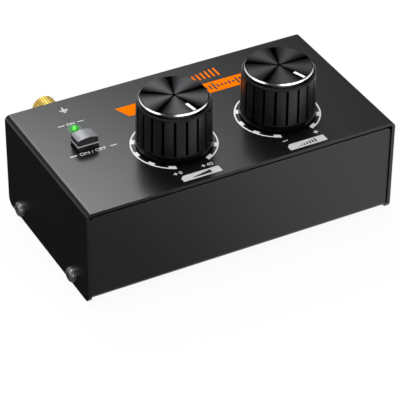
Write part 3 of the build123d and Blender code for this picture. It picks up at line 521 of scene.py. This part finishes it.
def buttonFinish():
    # crowned top painted pale as a highlight, dark sides, black foot below the seam
    material, tree, principled = startMaterial("button_black")
    height = splitPoint(tree, objectPoint(tree))[2]
    seam, blur = plateHigh.z + powerButton["seamHeight"] * mm, powerButton["seamBlur"] * mm
    top = remap(tree, splitNormal(tree)[2], *powerButton["topTilt"], 0.0, 1.0)
    foot = remap(tree, height, seam - blur, seam + blur, 1.0, 0.0)
    across = stretchPoint(tree, (0.15, 1.0, 1.0))
    brushed = noise(tree, across, powerButton["brush"], detail=3.0, roughness=0.6)
    # painted highlight: faces that look up take the pale top colour
    shade = blendColour(tree, top, powerButton["sides"], powerButton["top"])
    shade = blendColour(tree, foot, shade, powerButton["foot"])
    shade = scaleColour(tree, shade, remap(tree, brushed, *noiseReach, *powerButton["brushTone"]))
    touched = useGroup(tree, handMarks, Scale=250.0, Smooth=0.26, Dull=0.3)
    setSockets(tree, principled, {"Base Color": shade, "Roughness": touched["Roughness"]})
    raiseSkin(tree, principled, brushed, depth=0.004)
    return material


materials["button_black"] = buttonFinish()


def seamHighlightFinish():
    material, tree, principled = startMaterial("seam_highlight_grey")
    skin = useGroup(tree, fineGrain, Scale=2600.0, Spread=0.1)
    touched = useGroup(tree, handMarks, Scale=300.0, Smooth=0.25, Dull=0.4)
    # painted highlight: the ring's pale grey stands in for the light caught on the step's edge
    shade = scaleColour(tree, powerButton["seam"], skin["Tone"])
    setSockets(tree, principled, {"Base Color": shade, "Roughness": touched["Roughness"]})
    raiseSkin(tree, principled, skin["Height"], depth=0.003)
    return material


materials["seam_highlight_grey"] = seamHighlightFinish()

powerLamp = {"body": (0.012, 0.16, 0.012), "rim": (0.012, 0.19, 0.012), "glow": (0.17, 0.95, 0.11),
             "core": (-0.45, -0.85, -0.5), "coreReach": (0.2, 1.1), "halo": (0.006, 0.25, 0.004),
             "haloReach": (1.4, 3.0), "spillColour": (0.05, 1.0, 0.08), "spill": 0.0003, "spillHeight": 1.6,
             "spillSize": 1.2}


def fadeOut(tree, place, near, far):
    # 1 near the place and 0 beyond, from and to these distances in millimetres
    return remap(tree, distanceFrom(tree, place), near * mm, far * mm, 1.0, 0.0, smooth=True)


def lampFinish():
    # clear green body, deep green at the rim and brightest over the die
    material, tree, principled = startMaterial("lamp_green")
    core = fadeOut(tree, Vector(topOf("power_lamp")) + Vector(powerLamp["core"]) * mm, *powerLamp["coreReach"])
    touched = useGroup(tree, handMarks, Scale=400.0, Smooth=0.06, Dull=0.14)
    setSockets(tree, principled, {
        "Base Color": scaleColour(tree, powerLamp["body"], touched["Tone"]), "Roughness": touched["Roughness"],
        "Emission Color": blendColour(tree, core, powerLamp["rim"], powerLamp["glow"]), "Emission Strength": 1.0,
        "Coat Weight": 0.25, "Coat Roughness": 0.05,
    })
    return material


materials["lamp_green"] = lampFinish()


def lightCoatRoundLamp():
    # green light of the lit lamp on the coat close to it
    tree = materials["cover_steel"].node_tree
    halo = fadeOut(tree, overPlate("power_lamp"), *powerLamp["haloReach"])
    setSockets(tree, tree.nodes["Principled BSDF"], {
        "Emission Color": scaleColour(tree, powerLamp["halo"], halo), "Emission Strength": 1.0,
    })


lightCoatRoundLamp()

ownFinishes = {**capMaterials, **knobMaterials}
for subpart in frame["record"]["subparts"]:
    node = frame["nodes"][subpart["node"]]
    finish = ownFinishes.get(subpart["node"]) or materials[subpart["material_slot"]]
    node.data.materials.clear()
    node.data.materials.append(finish)


# Print on the cover: flat closed films of ink. Places are measured in millimetres
# from the cover's left side and front edge

ink = {"thickness": 0.03, "overprint": 0.02}


def placeObject(name, data):
    piece = bpy.data.objects.new(name, data)
    bpy.context.scene.collection.objects.link(piece)
    return piece


def ridingPiece(name, data, slot, body, material=None):
    piece = placeObject(name, data)
    piece.data.materials.append(materials[material or slot])
    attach(piece, body)
    return piece


def joinLoops(mesh, first, second):
    for i in range(len(first)):
        j = (i + 1) % len(first)
        mesh.faces.new((first[i], first[j], second[j], second[i]))


def closedMesh(name, mesh):
    bmesh.ops.recalc_face_normals(mesh, faces=mesh.faces)
    data = bpy.data.meshes.new(name)
    mesh.to_mesh(data)
    mesh.free()
    return data


def filmPiece(name, outlines, slot, layer=0, material=None):
    # layer 1 lies on other ink
    bottom = plateHigh.z + layer * ink["thickness"] * mm
    top = bottom + (ink["overprint"] if layer else ink["thickness"]) * mm
    mesh = bmesh.new()
    for outline in outlines:
        lower, upper = [[mesh.verts.new((plateLow.x + x * mm, plateLow.y + y * mm, z)) for x, y in outline]
                        for z in (bottom, top)]
        mesh.faces.new(lower)
        mesh.faces.new(upper)
        joinLoops(mesh, lower, upper)
    return ridingPiece(name, closedMesh(name, mesh), slot, "case", material)


def bar(left, front, right, back):
    return [(left, front), (right, front), (right, back), (left, back)]


def polar(centre, radius, degrees):
    turn = math.radians(degrees)
    return centre[0] + radius * math.cos(turn), centre[1] + radius * math.sin(turn)


def onPlate(node):
    x, y, _ = topOf(node)
    return (x - plateLow.x) / mm, (y - plateLow.y) / mm


knobScale = {"outer": 15.4, "inner": 14.85, "tickInner": 13.75, "arcStart": 246.5, "arcEnd": -67.0,
             "firstTick": 240.0, "tickPitch": 30.0, "ticks": 11, "tickHalf": 5.0, "endSlant": 1.5, "facet": 3.0}


def tickEdges():
    # where each tooth begins and ends, in degrees; the first and the last end with the arc
    edges = []
    for tick in range(knobScale["ticks"]):
        middle = knobScale["firstTick"] - tick * knobScale["tickPitch"]
        low = knobScale["arcEnd"] if tick == knobScale["ticks"] - 1 else middle - knobScale["tickHalf"]
        high = knobScale["arcStart"] if tick == 0 else middle + knobScale["tickHalf"]
        edges.append((low, high))
    return edges


def scaleOutline(centre):
    # thin arc open at the front, with square teeth pointing inwards
    start, end, slope = knobScale["arcStart"], knobScale["arcEnd"], knobScale["endSlant"]
    steps = round((start - end) / knobScale["facet"])
    outline = [polar(centre, knobScale["outer"], start + (end - start) * i / steps) for i in range(steps + 1)]
    angle = end
    for low, high in reversed(tickEdges()):
        while angle < low:
            outline.append(polar(centre, knobScale["inner"], angle))
            angle += knobScale["facet"]
        if low > end:
            outline.append(polar(centre, knobScale["inner"], low))
        for part in (0.0, 0.5, 1.0):
            slant = slope * (1 - part) if low == end else (-slope * part if high == start else 0.0)
            outline.append(polar(centre, knobScale["tickInner"], low + (high - low) * part + slant))
        if high < start:
            outline.append(polar(centre, knobScale["inner"], high))
        angle = high + knobScale["facet"]
    return outline


for knob in ("gain", "volume"):
    filmPiece(knob + "_scale", [scaleOutline(onPlate(knob + "_knob"))], "print_white")

lettering = {"figureShare": 0.73, "weight": -0.005, "curveSteps": 3}  # figures are 0.73 of the type size


def figures(name, text, left, front, height):
    # plain figures, drawn a little thin, with their left edge and foot at the given place
    curve = bpy.data.curves.new(name + "_text", "FONT")
    curve.body = text
    curve.size = height * mm / lettering["figureShare"]
    curve.offset = lettering["weight"] * height * mm
    curve.extrude = ink["thickness"] * mm / 2
    curve.resolution_u = lettering["curveSteps"]
    draft = placeObject(name + "_draft", curve)
    bpy.context.view_layer.update()
    data = bpy.data.meshes.new_from_object(draft.evaluated_get(bpy.context.evaluated_depsgraph_get()))
    bpy.data.objects.remove(draft)
    mesh = bmesh.new()
    mesh.from_mesh(data)
    bmesh.ops.remove_doubles(mesh, verts=mesh.verts, dist=1e-7)
    low = min(vertex.co.x for vertex in mesh.verts)
    foot = min(vertex.co.y for vertex in mesh.verts)
    place = Vector((plateLow.x + left * mm - low, plateLow.y + front * mm - foot,
                    plateHigh.z + ink["thickness"] * mm / 2))
    bmesh.ops.translate(mesh, verts=mesh.verts, vec=place)
    bmesh.ops.recalc_face_normals(mesh, faces=mesh.faces)
    data.name = name
    data.materials.clear()
    mesh.to_mesh(data)
    mesh.free()
    return ridingPiece(name, data, "print_white", "case")


def plusOutline(x, y, size, stroke):
    long, thin = size / 2, stroke / 2
    corners = [(thin, thin), (thin, long), (-thin, long), (-thin, thin), (-long, thin), (-long, -thin),
               (-thin, -thin), (-thin, -long), (thin, -long), (thin, -thin), (long, -thin), (long, thin)]
    return [(x + right, y + back) for right, back in corners]


gainPrint = {"signs": ((36.95, 7.4), (47.6, 7.4)), "signSize": 1.5, "stroke": 0.27,
             "low": ("0", 38.3, 6.6), "high": ("40", 48.9, 6.6), "figureHeight": 1.75}
volumePrint = {"minus": (78.85, 7.4, 80.75, 7.72), "plus": (92.0, 7.5), "signSize": 1.9, "stroke": 0.36}
filmPiece("gain_signs", [plusOutline(x, y, gainPrint["signSize"], gainPrint["stroke"])
                         for x, y in gainPrint["signs"]], "print_white")
for end in ("low", "high"):
    figures("gain_figure_" + end, *gainPrint[end], gainPrint["figureHeight"])
filmPiece("volume_signs", [bar(*volumePrint["minus"]),
                           plusOutline(*volumePrint["plus"], volumePrint["signSize"], volumePrint["stroke"])],
          "print_white")

labelPlates = {
    "gain_plate": (37.4, 2.0, 52.2, 5.3),
    "volume_plate": (78.65, 1.55, 93.3, 5.0),
}
labelCorner = {"cut": 1.2, "nick": 0.2}


def plateOutline(left, front, right, back):
    cut, nick = labelCorner["cut"], labelCorner["nick"]
    return [(left, front + nick), (left + nick, front), (right, front), (right, back),
            (left + cut, back), (left, back - cut)]


for name, box in labelPlates.items():
    filmPiece(name, [plateOutline(*box)], "print_white", material="label_white")

gainMark = {"box": (41.2, 2.75, 48.6, 4.6), "tip": 0.25}
volumeMark = {"box": (82.0, 2.3, 90.2, 4.35), "count": 7, "width": 0.55}


def wedgeMark():
    # a ramp, for gain
    left, front, right, back = gainMark["box"]
    return [[(left, front), (right, front), (right, back), (left, front + gainMark["tip"])]]


def barsMark():
    # bars that grow to the right, for volume
    left, front, right, back = volumeMark["box"]
    pitch = (right - left) / volumeMark["count"]
    bars = []
    for i in range(volumeMark["count"]):
        x = left + i * pitch
        top = front + (back - front) * (i + 1) / volumeMark["count"]
        bars.append(bar(x, front, x + volumeMark["width"] * pitch, top))
    return bars


filmPiece("gain_mark", wedgeMark(), "print_black", layer=1)
filmPiece("volume_mark", barsMark(), "print_black", layer=1)

stripe = {"left": 36.3, "right": 95.2, "front": 46.1, "back": 52.5, "slant": 2.5}
wave = {"left": 43.0, "right": 89.5, "pitch": 1.55, "width": 0.8, "least": 0.5, "reach": 1.75,
        "beat": 0.55, "flutter": 1.9, "flutterShare": 0.45}
filmPiece("stripe", [[(stripe["left"] + stripe["slant"], stripe["front"]),
                      (stripe["right"] - stripe["slant"], stripe["front"]),
                      (stripe["right"], stripe["back"]), (stripe["left"], stripe["back"])]], "print_orange")


def waveBars():
    # an even level pattern, two beats of different length
    middle = (stripe["front"] + stripe["back"]) / 2
    bars = []
    for i in range(int((wave["right"] - wave["left"]) / wave["pitch"])):
        flutter = 1 - wave["flutterShare"] + wave["flutterShare"] * math.cos(wave["flutter"] * i)
        level = wave["least"] + wave["reach"] * abs(math.sin(wave["beat"] * i)) * flutter
        x = wave["left"] + i * wave["pitch"]
        bars.append(bar(x, middle - level, x + wave["width"], middle + level))
    return bars


filmPiece("stripe_wave", waveBars(), "print_black", layer=1)

levelRow = {"left": 56.5, "front": 55.2, "pitch": 1.9, "width": 0.7, "count": 13, "low": 1.4, "high": 5.2}


def levelBars():
    bars = []
    for i in range(levelRow["count"]):
        share = i / (levelRow["count"] - 1)
        height = levelRow["low"] + (levelRow["high"] - levelRow["low"]) * share
        x = levelRow["left"] + i * levelRow["pitch"]
        bars.append(bar(x, levelRow["front"], x + levelRow["width"], levelRow["front"] + height))
    return bars


filmPiece("level_row", levelBars(), "print_orange")

earthSign = {"x": 19.9, "top": 62.0, "stem": 1.6, "stroke": 0.34, "widths": (3.2, 2.1, 1.0), "step": 0.72}


def earthOutlines():
    half = earthSign["stroke"] / 2
    y = earthSign["top"] - earthSign["stem"]
    widest = earthSign["widths"][0] / 2
    x = earthSign["x"]
    outlines = [[(x - widest, y - 2 * half), (x + widest, y - 2 * half), (x + widest, y), (x + half, y),
                 (x + half, earthSign["top"]), (x - half, earthSign["top"]), (x - half, y), (x - widest, y)]]
    for i, width in enumerate(earthSign["widths"][1:], start=1):
        low = y - 2 * half - i * earthSign["step"]
        outlines.append(bar(x - width / 2, low, x + width / 2, low + 2 * half))
    return outlines


filmPiece("earth_sign", earthOutlines(), "print_white")

switchPrint = {
    "lamp": dict(words=("ON", 16.9, 50.6, 1.45),
                 lines=((13.6, 51.2, 16.1, 51.5), (21.0, 51.2, 23.5, 51.5))),
    "switch": dict(words=("ON / OFF", 13.2, 31.8, 1.75),
                   lines=((9.5, 32.55, 12.2, 32.9), (24.8, 32.55, 27.2, 32.9))),
}
for name, values in switchPrint.items():
    figures(name + "_label", *values["words"])
    filmPiece(name + "_lines", [bar(*line) for line in values["lines"]], "print_white")
print("print laid")


# Seam of the button: a thin pale line lying on the step between foot and cap, a painted highlight on the step's
# edge

def seamCorners(inset):
    halfLength = (powerButton["length"] / 2 - inset) * mm
    halfDepth = (powerButton["depth"] / 2 - inset) * mm
    cut = max(powerButton["corner"] - inset, powerButton["leastCorner"]) * mm
    return [(halfLength - cut, halfDepth), (halfLength, halfDepth - cut),
            (halfLength, cut - halfDepth), (halfLength - cut, -halfDepth),
            (cut - halfLength, -halfDepth), (-halfLength, cut - halfDepth),
            (-halfLength, halfDepth - cut), (cut - halfLength, halfDepth)]


def seamHighlightRing():
    x, y, _ = topOf("power_button")
    bottom = plateHigh.z + powerButton["seamHeight"] * mm
    mesh = bmesh.new()
    loops = []
    for inset in (powerButton["inset"], powerButton["seamWidth"]):
        for z in (bottom, bottom + powerButton["seamRise"] * mm):
            loops.append([mesh.verts.new((x + dx, y + dy, z)) for dx, dy in seamCorners(inset)])
    outerLow, outerHigh, innerLow, innerHigh = loops
    around = [outerLow, outerHigh, innerHigh, innerLow, outerLow]
    for first, second in zip(around, around[1:]):
        joinLoops(mesh, first, second)
    data = closedMesh("button_seam_highlight", mesh)
    return ridingPiece("button_seam_highlight", data, "button_black", "button", material="seam_highlight_grey")


seamHighlightRing()
print("button seam laid")


# Studio: a pale floor, cards that only reflections see, soft lamps and the room

def emptyMaterial(name):
    material = bpy.data.materials.new(name)
    material.use_nodes = True
    material.node_tree.nodes.clear()
    return material, material.node_tree


def seenDirectly(tree):
    # 1 for what the camera sees, also in a gloss or through glass
    path = addNode(tree, "ShaderNodeLightPath").outputs
    straight = calc(tree, "MAXIMUM", path["Is Camera Ray"], path["Is Glossy Ray"])
    return calc(tree, "MAXIMUM", straight, path["Is Transmission Ray"])


def sheetMesh(name, corners, material):
    data = bpy.data.meshes.new(name)
    data.from_pydata(corners, [], [(0, 1, 2, 3)])
    data.materials.append(material)
    return data


floor = {"size": 8.0, "drop": 0.00002, "colour": (0.9, 0.9, 0.9), "screen": 0.93}


def makeFloor():
    material, tree = emptyMaterial("floor_paper")
    paper = addNode(tree, "ShaderNodeBsdfDiffuse", {"Color": floor["colour"]}).outputs[0]
    screen = addNode(tree, "ShaderNodeEmission", {"Color": (1.0, 1.0, 1.0), "Strength": 1.0}).outputs[0]
    share = calc(tree, "MULTIPLY", seenDirectly(tree), floor["screen"])
    mixed = addNode(tree, "ShaderNodeMixShader", {0: share, 1: paper, 2: screen}).outputs[0]
    addNode(tree, "ShaderNodeOutputMaterial", {"Surface": mixed})
    half = floor["size"] / 2
    corners = [(x, y, -floor["drop"]) for x, y in bar(-half, -half, half, half)]
    placeObject("floor", sheetMesh("floor", corners, material))


# dark and light are what a card shows left and right of cardGrade, which runs along X
cards = {
    "leftCard": dict(low=(-0.30, -0.10, 0.0002), high=(-0.0595, 0.16, 0.0002), dark=0.035, light=0.035),
    "frontCard": dict(low=(-0.0595, -0.20, 0.0002), high=(0.20, -0.039, 0.0002), dark=0.25, light=1.0),
    "ringCard": dict(low=(-0.42, -0.15, 0.12), high=(-0.20, -0.40, 0.31), dark=0.0, light=0.0),
    "edgeCard": dict(low=(0.25, 0.50, 0.0), high=(0.55, 0.22, 0.2), dark=0.0, light=0.0),
}
cardGrade = (-0.045, 0.07)


def cardCorners(low, high):
    # a flat card lies between its two corners, and an upright one stands on the line between them
    (left, front, bottom), (right, back, top) = low, high
    if bottom == top:
        return [(x, y, top) for x, y in bar(left, front, right, back)]
    return [(left, front, bottom), (right, back, bottom), (right, back, top), (left, front, top)]


def makeCard(name, low, high, dark, light):
    material, tree = emptyMaterial(name + "Paper")
    across = splitPoint(tree, objectPoint(tree))[0]
    strength = remap(tree, across, *cardGrade, dark, light, smooth=True)
    shine = addNode(tree, "ShaderNodeEmission", {"Strength": strength}).outputs[0]
    addNode(tree, "ShaderNodeOutputMaterial", {"Surface": shine})
    piece = placeObject(name, sheetMesh(name, cardCorners(low, high), material))
    piece.visible_camera = False
    piece.visible_diffuse = False
    piece.visible_shadow = False


makeFloor()
for name, values in cards.items():
    makeCard(name, **values)

lampBoxes = {
    "backBox": dict(place=(0.04, 0.36, 0.464), aim=(0.04, 0.0, 0.464), width=0.257, height=0.325, roll=-33.5,
                    radiance=6.35),
    "leftBox": dict(place=(-0.62, 0.06, 0.26), aim=(0.0, 0.0, 0.04), width=0.56, height=0.36, radiance=1.15),
    "frontBox": dict(place=(0.30, -0.62, 0.32), aim=(0.0, 0.0, 0.04), width=0.66, height=0.46, radiance=1.6),
    "ringBox": dict(place=(-0.06, -0.66, 0.30), aim=(0.0, 0.0, 0.06), width=0.34, height=0.3, radiance=1.4),
    "topBox": dict(place=(-0.10, 0.05, 0.85), aim=(0.0, 0.0, 0.0), width=0.44, height=0.5, radiance=5.0),
}
boxTint = (0.975, 0.985, 1.0)


def makeSoftbox(name, place, aim, width, height, radiance, roll=0.0):
    light = bpy.data.lights.new(name, "AREA")
    light.shape = "RECTANGLE"
    light.size = width
    light.size_y = height
    light.energy = radiance * math.pi * width * height  # watts that give this radiance
    light.color = boxTint
    box = placeObject(name, light)
    box.location = place
    facing = (Vector(aim) - Vector(place)).to_track_quat("-Z", "Y")
    box.rotation_euler = (facing @ Quaternion((0.0, 0.0, 1.0), math.radians(roll))).to_euler()
    box.visible_camera = False


for name, values in lampBoxes.items():
    makeSoftbox(name, **values)


def makeLampSpill():
    # green light of the lit lamp on the pieces near it
    light = bpy.data.lights.new("lampSpill", "POINT")
    light.color = powerLamp["spillColour"]
    light.energy = powerLamp["spill"]
    light.shadow_soft_size = powerLamp["spillSize"] * mm
    spill = placeObject("lampSpill", light)
    x, y, top = topOf("power_lamp")
    spill.location = (x, y, top + powerLamp["spillHeight"] * mm)
    spill.visible_camera = False
    spill.visible_glossy = False


makeLampSpill()

room = {"ceiling": 0.36, "horizon": 1.0, "rise": (0.05, 0.4), "fill": 0.42,
        "behind": 0.75, "behindReach": (0.1, 0.45)}


def makeRoom():
    # pale wall near the horizon, dimmer behind, grey ceiling, even fill
    world = bpy.data.worlds.new("room")
    bpy.context.scene.world = world
    world.use_nodes = True
    tree = world.node_tree
    tree.nodes.clear()
    direction = addNode(tree, "ShaderNodeTexCoord").outputs["Generated"]
    _, back, upward = splitPoint(tree, direction)
    wall = remap(tree, upward, *room["rise"], room["horizon"], room["ceiling"], smooth=True)
    behind = remap(tree, back, *room["behindReach"], 1.0, room["behind"], smooth=True)
    strength = blendValue(tree, seenDirectly(tree), room["fill"], calc(tree, "MULTIPLY", wall, behind))
    background = addNode(tree, "ShaderNodeBackground", {"Color": (1.0, 1.0, 1.0), "Strength": strength})
    addNode(tree, "ShaderNodeOutputWorld", {"Surface": background.outputs[0]})


makeRoom()

viewer = {"place": (-0.29980, -0.56217, 0.46253), "turn": (54.0304, -0.369, -28.0388),
          "lens": 195.31, "sensor": 36.0}


def makeViewer():
    data = bpy.data.cameras.new("viewer")
    data.lens = viewer["lens"]
    data.sensor_width = viewer["sensor"]
    camera = placeObject("viewer", data)
    camera.location = viewer["place"]
    camera.rotation_euler = Euler([math.radians(angle) for angle in viewer["turn"]], "XYZ")
    bpy.context.scene.camera = camera


makeViewer()
bpy.context.scene.view_settings.view_transform = "Standard"
print("studio set")
